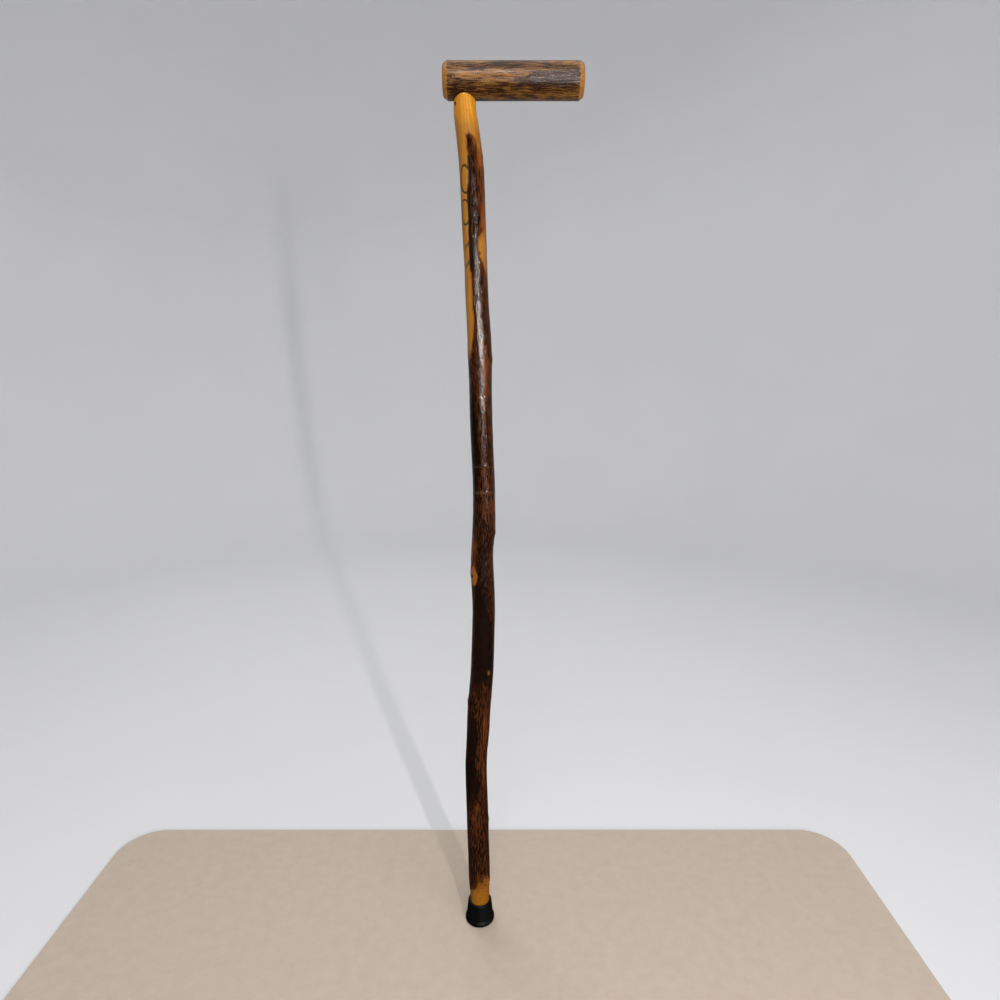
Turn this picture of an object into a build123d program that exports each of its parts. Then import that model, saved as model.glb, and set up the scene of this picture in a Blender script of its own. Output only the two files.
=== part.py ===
"""Single point walking cane, made from a natural sapling stick.

A bark-on stick carries a short log as a T grip, set off-centre so that most of the grip reaches forward.
The stick's neck is hollowed to saddle the round grip and is held by a blind hardwood dowel, which two
wire brads lock from the sides. The foot of the stick is turned down to a round spigot, and a black rubber
ferrule is pushed onto it, with a steel washer on the floor of its socket to stop the wood cutting through.

Millimetres. The origin is the centre of the ferrule's bottom face, +Z runs up the cane, +X runs towards
the long end of the grip, and -Y is the front.
"""

import os
from math import cos, radians, sin

from build123d import *

# Overall sizes: a 36 inch cane with a 5 inch grip.
OVERALL_HEIGHT = 914.0
GRIP_LENGTH = 129.0
GRIP_DIAMETER = 32.6
GRIP_BACK_END = -28.6  # X of the grip's short end

# Ferrule for a 22 mm (7/8 inch) stick.
FERRULE_HEIGHT = 26.0
FERRULE_BASE_DIAMETER = 33.6
FERRULE_RIM_DIAMETER = 27.0
FLANGE_HEIGHT = 4.2
FLANGE_STEP = 1.4  # how far the base flange stands out past the tapered wall
FLANGE_SLOPE = 2.0
SOCKET_DIAMETER = 22.1
SOCKET_FLOOR = 6.0
SOCKET_LEAD_IN = 0.5
BASE_ROUNDING = 2.0
FLANGE_ROUNDING = 0.8
WALL_FOOT_ROUNDING = 3.0
RIM_ROUNDING = 1.7
TREAD_DEPTH = 1.2
TREAD_WIDTH = 1.6
TREAD_RADII = (5.0, 8.6, 12.2)

# Washer on the socket's floor.
WASHER_DIAMETER = 21.4
WASHER_HOLE = 6.5
WASHER_THICKNESS = 1.5

# Spigot turned on the foot of the stick.
SPIGOT_DIAMETER = 22.0
SPIGOT_FOOT = SOCKET_FLOOR + WASHER_THICKNESS
SPIGOT_TOP = 28.0
SPIGOT_CHAMFER = 1.0

# Natural line of the stick: height, sideways offset, fore-and-aft offset, diameter.
STICK_STATIONS = (
    (SPIGOT_TOP, 0.0, 0.0, SPIGOT_DIAMETER),
    (38.0, 0.0, 0.2, 23.1),
    (52.0, -0.3, 0.5, 24.3),
    (70.0, -0.6, 0.9, 24.6),
    (91.0, -1.1, 1.4, 24.4),
    (110.0, -1.6, 1.7, 24.4),
    (130.0, -1.9, 1.9, 24.5),
    (156.0, -2.5, 1.7, 24.2),
    (172.0, -2.9, 1.4, 23.9),
    (187.0, -3.2, 1.0, 23.8),
    (206.0, -2.9, 0.4, 23.6),
    (222.0, -2.1, -0.1, 23.7),
    (240.0, -0.7, -0.7, 24.5),
    (260.0, 0.1, -1.1, 24.8),
    (280.0, 1.4, -1.5, 25.0),
    (303.0, 3.5, -1.6, 24.5),
    (328.0, 4.8, -1.3, 24.2),
    (350.0, 5.5, -1.0, 24.0),
    (372.0, 6.2, -0.4, 23.9),
    (396.0, 6.2, 0.3, 23.9),
    (424.0, 5.0, 1.1, 24.2),
    (451.0, 5.1, 1.6, 22.9),
    (474.0, 6.9, 1.7, 23.9),
    (500.0, 7.2, 1.4, 22.9),
    (520.0, 7.1, 1.0, 22.8),
    (540.0, 6.4, 0.6, 22.7),
    (567.0, 5.3, 0.0, 22.7),
    (598.0, 4.5, -0.7, 22.7),
    (627.0, 4.2, -1.3, 22.7),
    (650.0, 3.8, -1.6, 23.8),
    (685.0, 2.1, -1.6, 23.2),
    (708.0, 0.9, -1.2, 22.7),
    (732.0, 0.2, -0.8, 22.4),
    (758.0, -0.8, -0.2, 22.8),
    (786.0, -1.9, 0.5, 23.1),
    (822.0, -3.3, 0.9, 23.4),
    (848.0, -5.6, 0.7, 23.1),
    (866.0, -8.0, 0.3, 21.9),
    (880.0, -9.1, 0.0, 20.2),
    (OVERALL_HEIGHT - GRIP_DIAMETER / 2, -9.3, 0.0, 19.8),
)
NECK_X = STICK_STATIONS[-1][1]
NECK_DIAMETER = 20.2

# Log grip: a nearly round section that wanders a little along its length.
GRIP_AXIS_HEIGHT = OVERALL_HEIGHT - GRIP_DIAMETER / 2
GRIP_END_CHAMFER_LENGTH = 4.5
GRIP_END_CHAMFER_DEPTH = 3.3
GRIP_BLANK_OVERSIZE = 1.0
# Share of the length, width across Y, height across Z, offset in Y.
GRIP_SECTIONS = (
    (0.00, 33.0, 32.2, 0.2),
    (0.25, 32.6, 32.6, 0.0),
    (0.55, 32.0, 32.6, -0.3),
    (0.80, 32.8, 32.4, 0.0),
    (1.00, 32.4, 32.0, 0.3),
)

# Dowel that joins the grip to the neck.
DOWEL_DIAMETER = 10.0
DOWEL_LENGTH = 52.0
DOWEL_TOP = GRIP_AXIS_HEIGHT + 4.0
DOWEL_END_CHAMFER = 1.0
DOWEL_FLUTES = 6
DOWEL_FLUTE_RADIUS = 0.5
GLUE_SPACE = 1.5

# Brads: height on the neck, and turn round it from the front, positive towards +X.
BRAD_PLACES = ((877.0, -55.0), (870.0, 17.0))
BRAD_SHANK_DIAMETER = 1.4
BRAD_HEAD_DIAMETER = 2.2
BRAD_HEAD_LENGTH = 1.2
BRAD_LENGTH = 13.0
BRAD_SET_DEPTH = 0.7
BRAD_POINT_LENGTH = 1.6


def upright(diameter, bottom, top, x=0.0):
    """A vertical cylinder between two heights."""
    blank = Cylinder(diameter / 2, top - bottom, align=(Align.CENTER, Align.CENTER, Align.MIN))
    return Pos(x, 0, bottom) * blank


def grip_log():
    """The log before it is bored, with a long chamfer cut round each end."""
    sections = []
    for share, width, height, offset in GRIP_SECTIONS:
        place = Plane(
            origin=(GRIP_BACK_END + share * GRIP_LENGTH, offset, GRIP_AXIS_HEIGHT),
            x_dir=(0, 1, 0),
            z_dir=(1, 0, 0),
        )
        sections.append(place * Ellipse(width / 2, height / 2))
    log = loft(sections)
    reach = GRIP_DIAMETER / 2 + GRIP_BLANK_OVERSIZE
    end_radius = GRIP_DIAMETER / 2 - GRIP_END_CHAMFER_DEPTH
    slope = GRIP_END_CHAMFER_LENGTH / GRIP_END_CHAMFER_DEPTH
    inset = GRIP_END_CHAMFER_LENGTH + GRIP_BLANK_OVERSIZE * slope
    outline = Polyline(
        (0, 0),
        (0, end_radius),
        (inset, reach),
        (GRIP_LENGTH - inset, reach),
        (GRIP_LENGTH, end_radius),
        (GRIP_LENGTH, 0),
        close=True,
    )
    envelope = revolve(make_face(outline), Axis.X)
    return log & Pos(GRIP_BACK_END, 0, GRIP_AXIS_HEIGHT) * envelope


def brad_frames():
    """Where each brad's head lies: its Z axis points inward, towards the middle of the neck."""
    frames = []
    for height, turn in BRAD_PLACES:
        outward = (sin(radians(turn)), -cos(radians(turn)), 0)
        start = NECK_DIAMETER / 2 - BRAD_SET_DEPTH
        origin = (NECK_X + outward[0] * start, outward[1] * start, height)
        frames.append(Plane(origin=origin, z_dir=(-outward[0], -outward[1], 0)))
    return frames


def brad(frame):
    """One wire brad: a small punched head, a straight shank and a point."""
    base = (Align.CENTER, Align.CENTER, Align.MIN)
    shank_end = BRAD_LENGTH - BRAD_POINT_LENGTH
    head = Cylinder(BRAD_HEAD_DIAMETER / 2, BRAD_HEAD_LENGTH, align=base)
    shank = Cylinder(BRAD_SHANK_DIAMETER / 2, shank_end, align=base)
    point = Cone(BRAD_SHANK_DIAMETER / 2, 0.1, BRAD_POINT_LENGTH, align=base)
    return frame * (head + shank + Pos(0, 0, shank_end) * point)


def brad_head_recess(frame):
    """The set-in hole above a brad's head, out through the bark side of the neck."""
    recess_length = 2 * BRAD_SET_DEPTH + BRAD_HEAD_LENGTH
    recess = Cylinder(BRAD_HEAD_DIAMETER / 2, recess_length, align=(Align.CENTER, Align.CENTER, Align.MAX))
    return frame * (Pos(0, 0, BRAD_HEAD_LENGTH) * recess)


def dowel_rod():
    """The dowel before the brads are driven: chamfered ends and straight glue flutes."""
    rod = upright(DOWEL_DIAMETER, DOWEL_TOP - DOWEL_LENGTH, DOWEL_TOP, NECK_X)
    rod = chamfer(rod.edges(), DOWEL_END_CHAMFER)
    for index in range(DOWEL_FLUTES):
        turn = radians(360 * index / DOWEL_FLUTES)
        flute = upright(2 * DOWEL_FLUTE_RADIUS, DOWEL_TOP - DOWEL_LENGTH, DOWEL_TOP)
        rod -= Pos(NECK_X + DOWEL_DIAMETER / 2 * cos(turn), DOWEL_DIAMETER / 2 * sin(turn), 0) * flute
    return rod


def stick():
    """The natural stick with its turned spigot, before it is bored and saddled."""
    sections = [Pos(x, y, height) * Circle(diameter / 2) for height, x, y, diameter in STICK_STATIONS]
    spigot = upright(SPIGOT_DIAMETER, SPIGOT_FOOT, SPIGOT_TOP)
    spigot = chamfer(spigot.edges().sort_by(Axis.Z)[0], SPIGOT_CHAMFER)
    return spigot + loft(sections)


def ferrule_body():
    """The rubber ferrule: a tapered cup on a rounded base flange, with tread rings cut in its bottom face."""
    base, rim, socket = FERRULE_BASE_DIAMETER / 2, FERRULE_RIM_DIAMETER / 2, SOCKET_DIAMETER / 2
    floor_corner = (base, 0)
    flange_corner = (base, FLANGE_HEIGHT)
    wall_foot = (base - FLANGE_STEP, FLANGE_HEIGHT + FLANGE_SLOPE)
    rim_corner = (rim, FERRULE_HEIGHT)
    mouth_corner = (socket, FERRULE_HEIGHT)
    outline = Polyline(
        (0, 0),
        floor_corner,
        flange_corner,
        wall_foot,
        rim_corner,
        mouth_corner,
        (socket, SOCKET_FLOOR),
        (0, SOCKET_FLOOR),
        close=True,
    )
    profile = make_face(outline)
    roundings = (
        (floor_corner, BASE_ROUNDING),
        (flange_corner, FLANGE_ROUNDING),
        (wall_foot, WALL_FOOT_ROUNDING),
        (rim_corner, RIM_ROUNDING),
        (mouth_corner, SOCKET_LEAD_IN),
    )
    for corner, radius in roundings:
        profile = fillet(profile.vertices().sort_by_distance(corner)[0], radius)
    cup = revolve(Plane.XZ * profile, Axis.Z)
    for radius in TREAD_RADII:
        outer = upright(2 * radius + TREAD_WIDTH, 0, TREAD_DEPTH)
        inner = upright(2 * radius - TREAD_WIDTH, 0, TREAD_DEPTH)
        cup -= outer - inner
    return cup


def washer():
    """The flat steel washer on the socket's floor."""
    top = SOCKET_FLOOR + WASHER_THICKNESS
    return upright(WASHER_DIAMETER, SOCKET_FLOOR, top) - upright(WASHER_HOLE, SOCKET_FLOOR, top)


def build():
    """All the pieces, each under the name of its node."""
    frames = brad_frames()
    brads = [brad(frame) for frame in frames]
    log = grip_log()
    dowel_hole = upright(
        DOWEL_DIAMETER, DOWEL_TOP - DOWEL_LENGTH - GLUE_SPACE, DOWEL_TOP + GLUE_SPACE, NECK_X
    )
    shaft = stick() - log - dowel_hole
    dowel = dowel_rod()
    for frame, pin in zip(frames, brads):
        shaft = shaft - pin - brad_head_recess(frame)
        dowel -= pin
    return {
        "shaft": shaft,
        "handle": log - dowel_hole,
        "joint_dowel": dowel,
        "lock_brads": Compound(children=brads),
        "ferrule": ferrule_body(),
        "ferrule_washer": washer(),
    }


os.makedirs("parts", exist_ok=True)
for node, piece in build().items():
    export_step(piece, f"parts/{node}.step")
    print(node, "solids", len(piece.solids()), "volume", round(piece.volume))
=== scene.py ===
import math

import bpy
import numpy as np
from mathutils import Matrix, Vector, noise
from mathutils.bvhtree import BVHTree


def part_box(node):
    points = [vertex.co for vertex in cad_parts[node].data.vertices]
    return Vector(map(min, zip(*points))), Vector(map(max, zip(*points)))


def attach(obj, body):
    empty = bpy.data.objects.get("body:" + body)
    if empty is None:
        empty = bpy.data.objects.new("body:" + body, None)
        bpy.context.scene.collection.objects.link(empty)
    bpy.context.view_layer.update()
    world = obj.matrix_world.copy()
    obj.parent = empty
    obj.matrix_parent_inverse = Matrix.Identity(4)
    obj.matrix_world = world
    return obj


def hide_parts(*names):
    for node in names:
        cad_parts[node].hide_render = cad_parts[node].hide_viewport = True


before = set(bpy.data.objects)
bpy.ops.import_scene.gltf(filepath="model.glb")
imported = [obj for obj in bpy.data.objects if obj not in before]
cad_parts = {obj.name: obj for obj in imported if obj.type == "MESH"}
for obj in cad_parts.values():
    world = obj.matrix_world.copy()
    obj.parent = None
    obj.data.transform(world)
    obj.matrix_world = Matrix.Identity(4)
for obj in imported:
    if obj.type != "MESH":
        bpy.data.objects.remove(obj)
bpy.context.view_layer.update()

# %% [markdown]
# # A walking cane made from a natural stick
#
# The real cane is a sapling with most of its bark left on. A short log is the grip, and a black rubber
# ferrule covers the foot. Everything is varnished, so wet-looking highlights break up over rough bark.
#
# The engineering model is already loaded as a fixed frame: its boxes and surfaces say where things are.
# Here we model the pieces that the eye sees, at the same places, and give each one a procedural finish.
# The finished looks must stay inside that box.

MM = 0.001

# %% [markdown]
# ## The camera
#
# A camera can be placed by eye, or from what is known of the view. A phone's wide lens stood about
# 0.7 m in front of the cane and two thirds of the way up it, tipped down by 12 degrees. A lens this wide
# makes the foot look smaller than the grip, so the lens and the distance have to be right together.

# %% Place the camera
LENS = 25.2
CAMERA_DISTANCE = 0.708
CAMERA_HEIGHT = 0.6552
CAMERA_SIDE = 0.0237
CAMERA_TIP = math.radians(78.0)

camera_data = bpy.data.cameras.new("front_view")
camera_data.lens = LENS
camera = bpy.data.objects.new("front_view", camera_data)
camera.location = (CAMERA_SIDE, -CAMERA_DISTANCE, CAMERA_HEIGHT)
camera.rotation_euler = (CAMERA_TIP, 0, 0)
bpy.context.scene.collection.objects.link(camera)
bpy.context.scene.camera = camera
bpy.context.scene.view_settings.view_transform = "Standard"
print("camera stands", CAMERA_DISTANCE, "m in front of the cane")

# %% [markdown]
# ## Working by operators
#
# Blender's operators act on whatever is selected, and loading the frame leaves things selected. So every
# step begins by selecting only what it means to change. These helpers do that: one picks objects, one
# picks vertices by a test on their places, one finds an open border, and one applies a modifier at once.
# Two more do what several pieces need: they bore a round hole, and spin a section into a round piece.

# %% Selection helpers
def mode(name):
    """Switches between edit mode and object mode."""
    bpy.ops.object.mode_set(mode=name)


def only(piece):
    """Leaves just this object selected and active."""
    if bpy.context.object and bpy.context.object.mode != "OBJECT":
        mode("OBJECT")
    bpy.ops.object.select_all(action="DESELECT")
    piece.select_set(True)
    bpy.context.view_layer.objects.active = piece


def edit_all(piece):
    """Opens edit mode with the whole piece selected."""
    only(piece)
    mode("EDIT")
    bpy.ops.mesh.select_all(action="SELECT")


def places(piece):
    """The places of a mesh's vertices, one row each."""
    flat = np.empty(len(piece.data.vertices) * 3, np.float32)
    piece.data.vertices.foreach_get("co", flat)
    return flat.reshape(-1, 3).astype(float)


def put_back(piece, points):
    """Gives the vertices new places."""
    piece.data.vertices.foreach_set("co", np.asarray(points, np.float32).ravel())
    piece.data.update()


def edit_none(piece):
    """Opens edit mode with nothing selected, ready to pick vertices."""
    only(piece)
    mode("EDIT")
    bpy.ops.mesh.select_mode(type="VERT")
    bpy.ops.mesh.select_all(action="DESELECT")


def pick(piece, wanted):
    """Opens edit mode with the wanted vertices selected and no others."""
    edit_none(piece)
    mode("OBJECT")
    piece.data.vertices.foreach_set("select", np.asarray(wanted, bool))
    mode("EDIT")


def chosen(piece):
    """Which vertices are selected, read in object mode."""
    mode("OBJECT")
    wanted = np.empty(len(piece.data.vertices), bool)
    piece.data.vertices.foreach_get("select", wanted)
    return wanted


def open_edge(piece, axis, middle, beyond):
    """Selects the open edge at one end of a tube: beyond the middle along an axis, or before it."""
    edit_none(piece)
    bpy.ops.mesh.select_non_manifold(extend=False)
    wanted = chosen(piece)
    along = places(piece)[:, axis]
    pick(piece, wanted & ((along > middle) if beyond else (along < middle)))


def apply_modifier(piece, kind, **values):
    """Adds a modifier, sets its values and applies it."""
    only(piece)
    modifier = piece.modifiers.new(kind.title(), kind)
    for name, value in values.items():
        setattr(modifier, name, value)
    bpy.ops.object.modifier_apply(modifier=modifier.name)


def smooth_by_angle(piece, degrees):
    """Shades the piece smooth, and leaves edges sharper than this as edges."""
    only(piece)
    bpy.ops.object.shade_smooth_by_angle(angle=math.radians(degrees))


def outward(piece):
    """Merges doubled vertices and turns every face outwards."""
    edit_all(piece)
    bpy.ops.mesh.remove_doubles(threshold=1e-6)
    bpy.ops.mesh.normals_make_consistent(inside=False)
    mode("OBJECT")


def drill(piece, sides, radius, depth, place, turn=(0, 0, 0)):
    """Bores a round hole into a piece with a cylinder and a Boolean."""
    only(piece)
    bpy.ops.mesh.primitive_cylinder_add(
        vertices=sides, radius=radius, depth=depth, location=place, rotation=turn
    )
    cutter = bpy.context.object
    apply_modifier(piece, "BOOLEAN", operation="DIFFERENCE", object=cutter, solver="EXACT")
    bpy.data.objects.remove(cutter)
    outward(piece)


def spin_section(name, section, steps):
    """Extrudes a point from place to place, each a radius and a height, and spins the section about Z."""
    only(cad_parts["shaft"])
    bpy.ops.mesh.primitive_plane_add(size=2 * MM, location=(0, 0, 0))
    piece = bpy.context.object
    piece.name = name
    edit_all(piece)
    bpy.ops.mesh.merge(type="CENTER")
    bpy.ops.transform.translate(value=(section[0][0], 0, section[0][1]))
    for (near_x, near_z), (far_x, far_z) in zip(section, section[1:]):
        bpy.ops.mesh.extrude_region_move(
            TRANSFORM_OT_translate={"value": (far_x - near_x, 0, far_z - near_z)}
        )
    bpy.ops.mesh.select_all(action="SELECT")
    bpy.ops.mesh.spin(steps=steps, angle=math.tau, center=(0, 0, 0), axis=(0, 0, 1))
    mode("OBJECT")
    return piece


# %% [markdown]
# ## Tape-measuring the natural stick
#
# The stick wanders from side to side and swells at its knots. A caliper would find that by touching it
# from all round, and a ray does the same: from eight directions it travels inwards until it meets the
# surface. The mean of the touches is the middle of the stick there, and their mean distance its radius.

# %% Find the stick's line
TOUCHES = 8
REACH = 60 * MM

stick_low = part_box("shaft")[0]
grip_low, grip_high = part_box("handle")
ferrule_low, ferrule_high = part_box("ferrule")
dowel_low, dowel_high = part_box("joint_dowel")
grip_height = (grip_low.z + grip_high.z) / 2
grip_radius = (grip_high.z - grip_low.z) / 2
neck_x = (dowel_low.x + dowel_high.x) / 2


def feelers(node):
    """A search tree over a node's surface, for rays to meet."""
    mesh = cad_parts[node].data
    return BVHTree.FromPolygons([v.co for v in mesh.vertices], [p.vertices for p in mesh.polygons])


def caliper(tree, height, middle):
    """The stick's middle and radius at a height, from a first guess of its middle."""
    for _ in range(3):
        touches = []
        for step in range(TOUCHES):
            turn = math.tau * step / TOUCHES
            way = Vector((math.cos(turn), math.sin(turn), 0))
            start = Vector((middle[0], middle[1], height)) + way * REACH
            hit = tree.ray_cast(start, -way, REACH)[0]
            if hit:
                touches.append(hit)
        middle = (sum(t.x for t in touches) / len(touches), sum(t.y for t in touches) / len(touches))
    spread = [math.hypot(t.x - middle[0], t.y - middle[1]) for t in touches]
    return middle[0], middle[1], sum(spread) / len(spread)


SADDLE_LOW = grip_height - grip_radius
FIRST_TOUCH = 2 * MM
CLOSE_STEP, WIDE_STEP, CLOSE_UP_TO = 4 * MM, 8 * MM, 60 * MM
stick_tree = feelers("shaft")
measured_heights = np.concatenate((
    np.arange(stick_low.z + FIRST_TOUCH, CLOSE_UP_TO, CLOSE_STEP),
    np.arange(CLOSE_UP_TO, SADDLE_LOW - FIRST_TOUCH, WIDE_STEP),
))
sections = []
middle = (0.0, 0.0)
for height in measured_heights:
    section = caliper(stick_tree, height, middle)
    middle = section[:2]
    sections.append(section)
sections = np.array(sections)
print("sections measured:", len(sections), "radius from", round(sections[:, 2].min() / MM, 2), "mm to",
      round(sections[:, 2].max() / MM, 2), "mm")


def stick_at(heights):
    """Middle and radius of the stick at any heights, between the measured ones."""
    return [np.interp(heights, measured_heights, sections[:, column]) for column in range(3)]


# %% [markdown]
# ## Where the bark is, and where it was peeled
#
# A maker peels or burns a stick by areas, so we describe it the same way: by areas on the unrolled
# surface. A place on it is a height and a turn, in degrees from the front and positive to the right.
# The peeled wood is kept as a signed distance in millimetres, positive inside the peeled wood. A distance
# stays sharp when a shader draws its edge, where a painted mask would blur between vertices.

# %% Peeled areas
MEAN_RADIUS = 11.8  # mm, turns degrees into arc length
TOP_OF_BARK = 850.0
FOOT_OF_BARK = 46.0
STRIP_FOOT = 649.0
# Right-hand edge of the long peeled strip: height, turn.
STRIP_EDGE = (
    (640, -52), (649, -48), (656, -40), (666, -27), (684, -16), (714, -18), (746, -20),
    (764, -19), (776, -15), (797, -17), (808, -12), (818, -4), (830, -6), (838, -10), (848, -6), (856, -2),
)
STRIP_BACK_TURN = -142.0
EDGE_UNEVENNESS = 0.7  # mm
STRIP_END_SLOPE, NECK_SLOPE, FOOT_SLOPE = 0.3, 0.8, 0.4  # mm of depth for each mm along the stick
LOWER_BEHIND = 18  # mm by which the bark ends lower behind the neck than in front
FRONT_WITHIN = 100  # degrees of turn that count as the neck's front
FAR = 6.0  # mm, distances are kept no larger than this
# Two plain long ovals, apart from each other, outlined with a hot tip, and then the peeled knots.
# Each is height, turn, half height, half width in degrees.
OVALS = ((812.0, -34, 12.0, 27), (783.0, -42, 11.0, 27))
PEELED_KNOTS = ((751, 54, 15, 38), (748, 66, 20, 26), (424, -57, 11, 33))


def wrapped(turn):
    """A turn brought to between -180 and 180 degrees."""
    return (np.asarray(turn) + 180.0) % 360.0 - 180.0


def arc(degrees):
    """Arc length in mm for a turn in degrees."""
    return np.radians(degrees) * MEAN_RADIUS


def ellipse_depth(height, turn, spot):
    """How deep inside an oval area a place is, in mm, and negative outside it."""
    middle_height, middle_turn, half_height, half_width = spot[:4]
    across = arc(wrapped(turn - middle_turn)) / arc(half_width)
    along = (height - middle_height) / half_height
    return (1.0 - np.hypot(across, along)) * min(half_height, arc(half_width))


def wander(points, width, length, seed):
    """Slow natural unevenness from -1 to 1: it changes over so many mm across and along the stick."""
    values = np.empty(len(points))
    for index, (x, y, z) in enumerate(points):
        values[index] = noise.noise(Vector((x / width, y / width, z / length + seed)))
    return values


def peeled_depth(height, turn, uneven):
    """Signed distance in mm into peeled wood, with natural unevenness already worked out."""
    edge_heights = [row[0] for row in STRIP_EDGE]
    edge_turns = [row[1] for row in STRIP_EDGE]
    right = arc(wrapped(np.interp(height, edge_heights, edge_turns) - turn))
    back_turn = STRIP_BACK_TURN + 9.0 * np.sin(height / 21.0) + 5.0 * np.sin(height / 8.3 + 1.0)
    left = arc(wrapped(turn - back_turn))
    behind_side = np.clip(-arc(wrapped(turn + 80.0)), 0.0, 30.0)
    strip_foot = STRIP_FOOT + 3.5 * behind_side + 3.0 * np.sin(behind_side / 1.7)
    strip = np.minimum(np.minimum(right, left), (height - strip_foot) * STRIP_END_SLOPE)
    tongue = np.abs(arc(wrapped(turn - 6.0)))
    neck = (height - TOP_OF_BARK) * NECK_SLOPE + np.minimum(tongue, 22.0) * 0.75 - 1.0
    neck = np.where(np.abs(turn) > FRONT_WITHIN, (height - TOP_OF_BARK + LOWER_BEHIND) * NECK_SLOPE, neck)
    behind = np.clip((np.abs(turn) - 95.0) / 30.0, 0, 1)
    neck += behind * (6.0 * np.sin(np.radians(3 * turn + 40)) + 2.5 * np.sin(np.radians(11 * turn)))
    foot = FOOT_OF_BARK - 3.0 - height + 9.0 * np.cos(np.radians(turn - 30.0))
    depth = np.maximum(np.maximum(strip, neck), foot * FOOT_SLOPE)
    for spot in PEELED_KNOTS + OVALS:
        depth = np.maximum(depth, ellipse_depth(height, turn, spot))
    return np.clip(depth + uneven * EDGE_UNEVENNESS, -FAR, FAR)


# %% [markdown]
# ## The burned pattern
#
# Fine lines were burned into the peeled strip with a hot tool. Ours is a plain pattern: two separate long
# ovals and two straight slanting lines. Each line is an equation for how far a place is from it, so one
# small function for an oval and one for a straight line are enough to draw everything.

# %% Burned lines as distances
LINE_HALF_WIDTH = 0.68  # mm
SLANTS = (((759, -12), (750, -60)), ((742, -12), (733, -60)))
# The bark's edge is scorched between these heights and these turns.
SCORCH_LOW, SCORCH_HIGH, SCORCH_LEFT, SCORCH_RIGHT = 728, 832, -40, 6


def oval_distance(height, turn, oval):
    """Distance in mm to the outline of an oval, so that its line is as wide at the tips as at the sides."""
    middle_height, middle_turn, half_height, half_width = oval
    half_arc = arc(half_width)
    across = arc(wrapped(turn - middle_turn))
    along = height - middle_height
    share = np.maximum(np.hypot(across / half_arc, along / half_height), 0.05)
    steepness = np.hypot(across / half_arc ** 2, along / half_height ** 2) / share
    return np.abs(1 - share) / np.maximum(steepness, 0.02)


def slant_distance(height, turn, ends):
    """Distance in mm to a straight line between two places on the unrolled surface."""
    (height_a, turn_a), (height_b, turn_b) = ends
    ax, ay = arc(turn_a), height_a
    bx, by = arc(turn_b), height_b
    px, py = arc(turn), height
    length = (bx - ax) ** 2 + (by - ay) ** 2
    share = np.clip(((px - ax) * (bx - ax) + (py - ay) * (by - ay)) / length, 0, 1)
    return np.hypot(px - ax - share * (bx - ax), py - ay - share * (by - ay))


def burn_distance(height, turn, depth):
    """Distance in mm to the nearest burned line, the scorched edge of the bark among them."""
    nearest = np.full(len(height), FAR)
    for oval in OVALS:
        nearest = np.minimum(nearest, oval_distance(height, turn, oval))
    for ends in SLANTS:
        nearest = np.minimum(nearest, slant_distance(height, turn, ends))
    scorched = (height > SCORCH_LOW) & (height < SCORCH_HIGH) & (turn > SCORCH_LEFT) & (turn < SCORCH_RIGHT)
    beside = np.where(scorched, np.abs(depth - 0.3) * 0.45, FAR)
    return np.minimum(nearest, beside)


# %% [markdown]
# ## Warm and dark bark
#
# Sanding thins the bark, and the varnish then turns the inner bark amber or red-brown. Where the bark is
# whole, or where it was scorched, it is nearly black. Soft oval patches of both, laid by height and turn,
# give each stretch of the stick its own colour, as on the real one.

# %% Warm and dark patches
# Height, turn, half height, half width in degrees, strength.
WARM_PATCHES = (
    (800, 66, 48, 40, 0.7), (838, 48, 16, 26, 0.9), (742, 80, 24, 30, 0.9), (775, 72, 16, 44, 0.6),
    (722, 44, 20, 12, 0.4), (636, 32, 36, 22, 0.75), (690, 80, 60, 26, 0.45), (600, 4, 60, 14, 0.3),
    (535, 8, 16, 50, 0.3), (500, 22, 26, 50, 0.34), (498, 62, 30, 20, 0.35), (454, -56, 20, 26, 0.75),
    (424, -52, 13, 36, 0.9), (440, 38, 14, 14, 0.45), (420, 76, 70, 20, 0.5), (322, 80, 60, 22, 0.55),
    (300, 10, 12, 40, 0.25), (275, -74, 10, 18, 0.9), (262, -76, 24, 18, 0.55), (262, 44, 22, 30, 0.42),
    (222, 46, 42, 30, 0.5), (184, 44, 22, 26, 0.35), (160, 6, 14, 26, 0.42), (146, -20, 14, 26, 0.4),
    (128, -24, 22, 36, 0.25), (122, 30, 24, 50, 0.25), (72, -12, 20, 56, 0.2), (58, 24, 20, 50, 0.45),
    (300, 170, 120, 50, 0.5), (560, 150, 90, 40, 0.5), (130, 180, 60, 60, 0.45), (700, 130, 60, 30, 0.5),
    (420, -130, 60, 30, 0.4),
)
DARK_PATCHES = (
    (580, -48, 64, 52, 0.8), (530, -44, 60, 36, 0.6), (350, -12, 70, 60, 0.8), (390, -20, 30, 50, 0.6),
    (205, -40, 66, 48, 1.1), (182, -5, 16, 30, 0.7), (246, -20, 20, 30, 0.7), (335, 10, 44, 60, 0.5),
    (100, -4, 22, 60, 0.55), (440, 2, 30, 26, 0.6), (460, 30, 40, 26, 0.5),
    (800, 4, 60, 13, 0.7), (745, -6, 20, 16, 0.9), (470, -20, 34, 20, 0.4), (240, 140, 70, 50, 0.6),
    (640, -160, 80, 40, 0.6), (480, 180, 60, 40, 0.5), (340, 50, 40, 20, 0.6),
)
# Where the bark is rubbed so thin that the wood's gold shows through it.
THIN_PATCHES = (
    (44, 40, 17, 66, 1.0), (848, 50, 15, 32, 0.9), (742, 72, 18, 34, 0.7), (424, -58, 14, 32, 0.4),
    (42, 150, 17, 120, 1.0), (156, 2, 14, 26, 0.25), (655, -66, 12, 30, 0.7), (452, -62, 15, 18, 0.45),
    (274, -76, 7, 16, 0.5), (632, 34, 26, 14, 0.25),
)
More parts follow.
